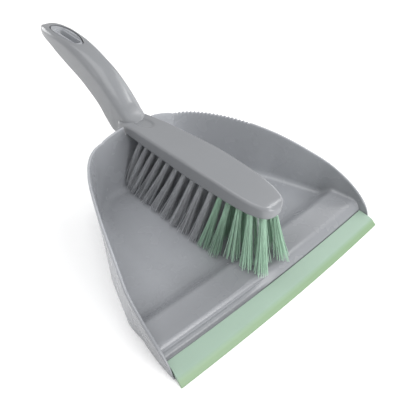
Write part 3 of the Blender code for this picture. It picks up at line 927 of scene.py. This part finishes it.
def handle_section(distance):
    """A section of the pan's handle: a box with rounded corners."""
    low, high, half = smooth(PAN_HANDLE, distance)
    radius = min(PAN_HANDLE_CORNER, half * 0.4, (high - low) * 0.4)
    side, bottom, top = half - radius, low + radius, high - radius
    outline = arc(side, bottom, radius, -1, 1, 6) + arc(side, top, radius, 0, 1, 6)
    outline += arc(-side, top, radius, 1, 1, 6) + arc(-side, bottom, radius, 2, 1, 6)
    return upright(outline, distance)


def handle_top(y):
    """Height of the top of the brush's handle, which the boss follows."""
    return smooth(HANDLE_STATIONS, y - LIP_LINE)[2]


def pan_handle():
    """The pan's handle with its oval boss and the hanging slot."""
    piece = solid("pan_handle", [handle_section(distance) for distance in evenly(PAN_HANDLE)])
    boss = solid("boss", [oval_ring(BOSS_HALF, grow, rise) for rise, grow in BOSS_LEVELS])
    combine(piece, boss, "UNION")
    slot = solid("slot", [slot_ring(grow, rise) for rise, grow in SLOT_LEVELS])
    combine(piece, slot, "DIFFERENCE")
    return piece


# ---------------------------------------------------------------- lip


def lip_profile():
    """The lip's side profile: (distance, height), with a thin sloping front edge."""
    top = chain((
        ((LIP_BACK - 0.0003, 0.0077), (0.0130, 0.0071), (0.0090, 0.0062), (0.0058, 0.0053)),
        ((0.0058, 0.0053), (0.0046, 0.0049), (0.0038, 0.0043), (0.0030, 0.0035)),
        ((0.0030, 0.0035), (0.0020, 0.0025), (0.0011, 0.0016), (0.0004, 0.0010)),
    ), 6)
    front = [Vector((0.0000, 0.0007)), Vector((0.0000, 0.0003)), Vector((0.0003, 0.0))]
    under = [(0.0027, 0.0), (0.0027, 0.0008 + FIT_GAP), (LIP_BACK, 0.0042 + FIT_GAP), (LIP_BACK, 0.0074)]
    return [tuple(point) for point in top + front] + under


def lip_shape(steps=120):
    """The lip, bowed forward and a little narrower at the back."""
    rings = []
    profile = lip_profile()
    for step in range(steps + 1):
        share = 2.0 * step / steps - 1.0
        ring = []
        for distance, z in profile:
            narrowing = (LIP_HALF_WIDTH_FRONT - LIP_HALF_WIDTH_BACK) * distance / LIP_BACK
            x = share * (LIP_HALF_WIDTH_FRONT - narrowing)
            ring.append((x, at(distance) - LIP_BOW * (1.0 - (x / LIP_HALF_WIDTH_FRONT) ** 2), z))
        rings.append(ring)
    return solid("lip_strip", rings, LIP_SHARP)


# ---------------------------------------------------------------- brush


def dish_depth(x, distance, depth):
    """Depth of the thumb dish, which has a firm edge round a shallow hollow."""
    centre, half_width, half_length = DISH
    away = math.hypot(x / half_width, (distance - centre) / half_length)
    return depth * (1.0 - ease(0.70, 1.0, away))


def brush_section(table, distance, crown, dish):
    """A section of the brush with rounded corners, and how its top is crowned or dished."""
    half, low, high, radius = smooth(table, distance)
    radius = min(radius, half * 0.75, (high - low) * 0.45)
    foot = min(0.0012, half * 0.4, (high - low) * 0.2)
    right = [(half * share, low) for share in (0.0, 0.2, 0.4)]
    right += arc(half - foot, low + foot, foot, -1, 1, 4)
    right += [(half, low + foot + (high - radius - low - foot) * step / 6) for step in range(1, 6)]
    right += arc(half - radius, high - radius, radius, 0, 1, 10)
    right += [((half - radius) * (1.0 - step / 16), high) for step in range(1, 17)]
    outline = []
    for x, z in right + [(-x, z) for x, z in reversed(right[1:-1])]:
        if z > high - radius - 1e-6:
            z += crown * (1.0 - (x / half) ** 2) - dish_depth(x, distance, dish)
        outline.append((x, z))
    return upright(outline, distance)


def distances(table, fine):
    """Where sections stand, closer at the ends and where the shape changes quickly."""
    first, last = table[0][0], table[-1][0]
    made = [first]
    while made[-1] < last - SECTION_STEPS[0][1]:
        here = made[-1]
        near_end = min(here - first, last - here)
        step = next(spacing for reach, spacing in SECTION_STEPS if near_end < reach)
        if fine[0] < here < fine[1]:
            step = min(step, FINE_SECTION)
        made.append(here + step)
    made[-1] = last
    return made


def handle_crown(distance):
    """How far the handle's top is crowned: flat at its foot and at the boss."""
    return HANDLE_CROWN * (1.0 - ease(0.250, 0.285, distance)) * ease(0.183, 0.200, distance)


def hollow_section(distance):
    """A section of the hollow, with a square foot and a rounded roof."""
    half, low, roof, corner = smooth(HOLLOW_STATIONS, distance)
    right = arc(half - corner, roof - corner, corner, 0, 1, 6)
    left = [(-x, z) for x, z in reversed(right)]
    return upright([(-half, low), (half, low), *right, *left], distance)


def brush_shape(settings):
    """Block and handle in one, hollow below the handle so that it drops over the pan's handle."""
    block = [
        brush_section(BLOCK_STATIONS, distance, 0.0, settings.dish_depth)
        for distance in distances(BLOCK_STATIONS, BLOCK_FINE)
    ]
    handle = [
        brush_section(HANDLE_STATIONS, distance, handle_crown(distance), 0.0)
        for distance in distances(HANDLE_STATIONS, HANDLE_FINE)
    ]
    piece = solid("brush_block", block, BRUSH_SHARP)
    combine(piece, solid("brush_handle", handle, BRUSH_SHARP), "UNION", BRUSH_SHARP)
    hollow = solid("hollow", [hollow_section(distance) for distance in evenly(HOLLOW_STATIONS)])
    combine(piece, hollow, "DIFFERENCE", BRUSH_SHARP)
    hole = solid("oval_hole", [oval_ring(OVAL_HOLE_HALF, grow, rise) for rise, grow in HOLE_LEVELS])
    combine(piece, hole, "DIFFERENCE", BRUSH_SHARP)
    return piece


# ---------------------------------------------------------------- tufts


def tuft_centre_line(row, distance):
    """Root, middle and tip of a tuft's centre, as (x, distance, z)."""
    half = between(BLOCK_STATIONS, distance)[0]
    back = distance + between(ROOT_SHIFT, distance)[0]
    root = Vector((row * (half - TUFT_INSET), back, TUFT_ROOT_Z))
    tip_distance = distance + smooth(FAN, distance)[0]
    floor = PLATEAU_Z if tip_distance < STEP_TOP else between(FLOOR_PROFILE, tip_distance + 0.0025)[0]
    aside = row * SIDE_SPLAY
    if row >= 0:
        aside -= FRONT_SWEEP * (1.0 - ease(0.036, 0.060, distance))
    tip = Vector((root.x + aside, tip_distance, floor + TIP_CLEAR + between(TIP_LIFT, distance)[0]))
    middle = root.lerp(tip, 0.5)
    middle.y += BACK_BEND * ease(0.140, 0.172, distance)
    return root, middle, tip


def tuft_mesh(name, row, distance, settings, dice):
    """A bundle of separate threads that spread towards their tips."""
    root, middle, tip = tuft_centre_line(row, distance)
    points, faces = [], []
    count = settings.threads
    sides, bends = THREAD_SIDES, THREAD_BENDS
    radius = settings.thread_width / 2
    for index in range(count):
        reach = math.sqrt((index + 0.5) / count)
        turn = GOLDEN_ANGLE * index + dice.uniform(-0.2, 0.2)
        spread = Vector((math.cos(turn), math.sin(turn), 0.0)) * reach
        start = root + spread * ROOT_BUNDLE + Vector((0.0, 0.0, ROOT_DEPTH))
        wander = Vector((dice.gauss(0.0, WANDER), dice.gauss(0.0, WANDER), 0.0))
        end = tip + Vector((spread.x * settings.spread * 0.90, spread.y * settings.spread, 0.0)) + wander
        end.z += abs(dice.gauss(0.0, RAGGED)) + 0.0006 * reach
        bend = middle + spread * BEND_BUNDLE + wander * 0.4
        base = len(points)
        for step in range(bends + 1):
            t = step / bends
            spot = start * (1 - t) ** 2 + bend * (2 * t * (1 - t)) + end * t**2
            width = radius * (1.0 - THREAD_TAPER * t)
            for corner in range(sides):
                angle = 2.0 * math.pi * corner / sides + index
                x, y = spot.x + width * math.cos(angle), at(spot.y) + width * math.sin(angle)
                points.append((x, y, spot.z))
        for step in range(bends):
            for corner in range(sides):
                low, after = base + step * sides, (corner + 1) % sides
                faces.append((low + corner, low + sides + corner, low + sides + after, low + after))
        faces.append(tuple(base + corner for corner in range(sides)))
        faces.append(tuple(base + bends * sides + corner for corner in reversed(range(sides))))
    return mesh_object(name, points, faces, THREAD_SHARP)


# ---------------------------------------------------------------- settings


class DUSTSET_PG_pan(bpy.types.PropertyGroup):
    """Sizes and colour of the pan."""

    wall: FloatProperty(name="Wall", description="Thickness of the pan's walls", default=0.0022,
                        min=0.001, max=0.004, unit="LENGTH")
    teeth: IntProperty(name="Comb teeth", description="Notches cut in the rim to comb the bristles",
                       default=20, min=0, max=24)
    comb_depth: FloatProperty(name="Comb depth", description="Depth of the comb's notches", default=0.0009,
                              min=0.0, max=0.003, unit="LENGTH")
    colour: StringProperty(name="Colour", description="Hex colour of the grey plastic", default="#84868A")
    roughness: FloatProperty(name="Roughness", description="Roughness of the grey plastic", default=0.27,
                             min=0.1, max=0.9, subtype="FACTOR")
    # Painted light: how much paler the plastic is drawn behind the front step, to light the shaded rear
    # interior.
    rear_painted_light: FloatProperty(name="Pale", description="How much paler the plastic is behind the front step",
                        default=1.42, min=1.0, max=2.0)


class DUSTSET_PG_lip(bpy.types.PropertyGroup):
    """Finish of the rubber lip."""

    colour: StringProperty(name="Colour", description="Hex colour of the rubber", default="#8CA293")
    # The front edge's colour is greener than the rubber, and darker as painted shade of its steeper slope.
    shaded_edge_colour: StringProperty(name="Edge", description="Hex colour of the front edge", default="#7B9474")
    roughness: FloatProperty(name="Roughness", description="Roughness of the rubber", default=0.52,
                             min=0.1, max=0.9, subtype="FACTOR")


class DUSTSET_PG_brush(bpy.types.PropertyGroup):
    """Sizes and colours of the brush."""

    dish_depth: FloatProperty(name="Thumb dish", description="Depth of the thumb dish", default=0.0012,
                              min=0.0, max=0.003, unit="LENGTH")
    roughness: FloatProperty(name="Roughness", description="Roughness of the grey plastic", default=0.21,
                             min=0.1, max=0.9, subtype="FACTOR")
    threads: IntProperty(name="Threads", description="Threads in each tuft", default=44, min=8, max=80)
    thread_width: FloatProperty(name="Thread width", description="Width of a thread, drawn above its 0.3 mm",
                                default=0.00055, min=0.0002, max=0.001, unit="LENGTH")
    spread: FloatProperty(name="Spread", description="Half width of a tuft at its tips", default=0.0056,
                          min=0.002, max=0.008, unit="LENGTH")
    colour: StringProperty(name="Colour", description="Hex colour of the grey plastic", default="#828487")
    grey: StringProperty(name="Grey threads", description="Hex colour of the grey threads",
                         default="#B2B4B7")
    green: StringProperty(name="Green threads", description="Hex colour of the green threads",
                          default="#9CBDA7")
    seed: IntProperty(name="Seed", description="Seed for the threads' scatter", default=11)


class DUSTSET_PG_stage(bpy.types.PropertyGroup):
    """The studio."""

    floor_colour: StringProperty(name="Floor", description="Hex colour of the floor", default="#FFFFFF")
    sky: FloatProperty(name="Surround", description="Strength of the white surround", default=0.50,
                       min=0.0, max=3.0)
    key: FloatProperty(name="Softboxes", description="Strength of all softboxes", default=1.0,
                       min=0.0, max=4.0)
    camera_place: FloatVectorProperty(name="Camera", description="Where the camera stands",
                                      default=(-0.1955, -0.2793, 0.2642), subtype="TRANSLATION")
    lens: FloatProperty(name="Lens", description="Focal length in millimetres", default=40.5,
                        min=10.0, max=200.0)


# ---------------------------------------------------------------- operators


class DUSTSET_OT_pan(bpy.types.Operator):
    """Build the pan: shell, ribs, handle, boss and hanging slot"""

    bl_idname = "dustset.pan"
    bl_label = "Pan"

    def execute(self, context):
        settings = context.scene.dustset_pan
        shell = pan_shell(settings)
        tongue = slab("tongue", TONGUE, -LIP_HALF_WIDTH_BACK, LIP_HALF_WIDTH_BACK, LIP_BOW, 12)
        piece = join(shell, [*ribs(), tongue, pan_handle()])
        outward(piece)
        grey = moulded_polypropylene(
            "moulded_polypropylene_pan", settings.colour, settings.roughness, settings.rear_painted_light
        )
        finish_piece(piece, grey, PAN_BODY, ["pan_body"])
        return {"FINISHED"}


class DUSTSET_OT_lip(bpy.types.Operator):
    """Build the rubber lip"""

    bl_idname = "dustset.lip"
    bl_label = "Rubber lip"

    def execute(self, context):
        settings = context.scene.dustset_lip
        rubber = thermoplastic_rubber(
            "thermoplastic_rubber_lip", settings.colour, settings.shaded_edge_colour, settings.roughness
        )
        finish_piece(lip_shape(), rubber, PAN_BODY, ["lip"])
        return {"FINISHED"}


class DUSTSET_OT_brush(bpy.types.Operator):
    """Build the brush's block and handle"""

    bl_idname = "dustset.brush"
    bl_label = "Brush block and handle"

    def execute(self, context):
        settings = context.scene.dustset_brush
        piece = brush_shape(settings)
        grey = moulded_polypropylene("moulded_polypropylene_brush", settings.colour, settings.roughness)
        finish_piece(piece, grey, BRUSH_BODY, ["brush_body"])
        return {"FINISHED"}


class DUSTSET_OT_tufts(bpy.types.Operator):
    """Build the grey and green tufts of bristles"""

    bl_idname = "dustset.tufts"
    bl_label = "Tufts"

    def execute(self, context):
        settings = context.scene.dustset_brush
        threads = {
            "grey": bristle_filament("extruded_filament_grey", settings.grey, 0.42),
            "green": bristle_filament("extruded_filament_green", settings.green, 0.42),
        }
        dice = random.Random(settings.seed)
        for label, row, back, count in TUFT_ROWS:
            for index in range(count):
                distance = back - TUFT_PITCH * index
                colour = "green" if distance < GREEN_FROM else "grey"
                name = f"{label}_{index + 1:02d}_{colour}"
                piece = tuft_mesh(f"threads_{name}", row, distance, settings, dice)
                finish_piece(piece, threads[colour], BRUSH_BODY, [f"tuft_{name}"])
        return {"FINISHED"}


class DUSTSET_OT_stage(bpy.types.Operator):
    """Build the floor, the softboxes and the camera"""

    bl_idname = "dustset.stage"
    bl_label = "Stage"

    def execute(self, context):
        settings = context.scene.dustset_stage
        turns = [2.0 * math.pi * side / FLOOR_SIDES for side in range(FLOOR_SIDES)]
        ring = [(FLOOR_RADIUS * math.cos(turn), FLOOR_RADIUS * math.sin(turn), 0.0) for turn in turns]
        floor = mesh_object("floor", ring, [tuple(range(FLOOR_SIDES))])
        floor.data.materials.append(painted_board("matt_white_laminate", settings.floor_colour))
        world = bpy.data.worlds.new("surround")
        world.use_nodes = True
        backdrop = world.node_tree.nodes["Background"]
        backdrop.inputs["Color"].default_value = (1.0, 1.0, 1.0, 1.0)
        backdrop.inputs["Strength"].default_value = settings.sky
        context.scene.world = world
        for name, place, size, power in SOFTBOXES:
            add_softbox(name, place, size, power * settings.key)
        add_camera(settings)
        context.scene.view_settings.view_transform = "Standard"
        return {"FINISHED"}


def add_softbox(name, place, size, power):
    """A rectangular softbox that faces the set."""
    light = bpy.data.lights.new(name, "AREA")
    light.shape = "RECTANGLE"
    light.size, light.size_y = size
    light.energy = power
    lamp = bpy.data.objects.new(name, light)
    bpy.context.scene.collection.objects.link(lamp)
    lamp.location = place
    lamp.rotation_mode = "QUATERNION"
    lamp.rotation_quaternion = (Vector(AIM) - Vector(place)).to_track_quat("-Z", "Y")


def add_camera(settings):
    """The camera, turned by its azimuth and elevation."""
    turn, rise = CAMERA_AZIMUTH, CAMERA_ELEVATION
    back = Vector((math.sin(turn) * math.cos(rise), -math.cos(turn) * math.cos(rise), math.sin(rise)))
    right = Vector((math.cos(turn), math.sin(turn), 0.0))
    up = back.cross(right)
    view = bpy.data.cameras.new("camera")
    view.lens = settings.lens
    view.sensor_width = 36.0
    view.clip_start, view.clip_end = 0.01, 20.0
    camera = bpy.data.objects.new("camera", view)
    bpy.context.scene.collection.objects.link(camera)
    facing = Matrix((right, up, back)).transposed().to_4x4()
    camera.matrix_world = Matrix.Translation(settings.camera_place) @ facing
    bpy.context.scene.camera = camera


# ---------------------------------------------------------------- panel and start


class DUSTSET_PT_panel(bpy.types.Panel):
    """Lists the builders and their settings."""

    bl_idname = "DUSTSET_PT_panel"
    bl_label = "Dustpan and brush set"
    bl_space_type = "VIEW_3D"
    bl_region_type = "UI"
    bl_category = "Dustpan set"

    def draw(self, context):
        for group, _, operators in GROUPS:
            box = self.layout.box()
            settings = getattr(context.scene, group)
            for name in settings.__annotations__:
                box.prop(settings, name)
            for operator in operators:
                box.operator(operator)


# Groups of settings and the operators that use them: (name in the scene, group, operators)
GROUPS = (
    ("dustset_pan", DUSTSET_PG_pan, ("dustset.pan",)),
    ("dustset_lip", DUSTSET_PG_lip, ("dustset.lip",)),
    ("dustset_brush", DUSTSET_PG_brush, ("dustset.brush", "dustset.tufts")),
    ("dustset_stage", DUSTSET_PG_stage, ("dustset.stage",)),
)
OPERATORS = (DUSTSET_OT_pan, DUSTSET_OT_lip, DUSTSET_OT_brush, DUSTSET_OT_tufts, DUSTSET_OT_stage)


def register():
    """Registers the settings, the operators and the panel."""
    for name, group, _ in GROUPS:
        bpy.utils.register_class(group)
        setattr(bpy.types.Scene, name, PointerProperty(type=group))
    for kind in (*OPERATORS, DUSTSET_PT_panel):
        bpy.utils.register_class(kind)


def unregister():
    """Takes them away again."""
    for kind in (DUSTSET_PT_panel, *reversed(OPERATORS)):
        bpy.utils.unregister_class(kind)
    for name, group, _ in reversed(GROUPS):
        delattr(bpy.types.Scene, name)
        bpy.utils.unregister_class(group)


def main():
    """Builds every piece and the stage."""
    register()
    builders = bpy.ops.dustset
    for build in (builders.pan, builders.lip, builders.brush, builders.tufts, builders.stage):
        build()


if __name__ == "__main__":
    main()
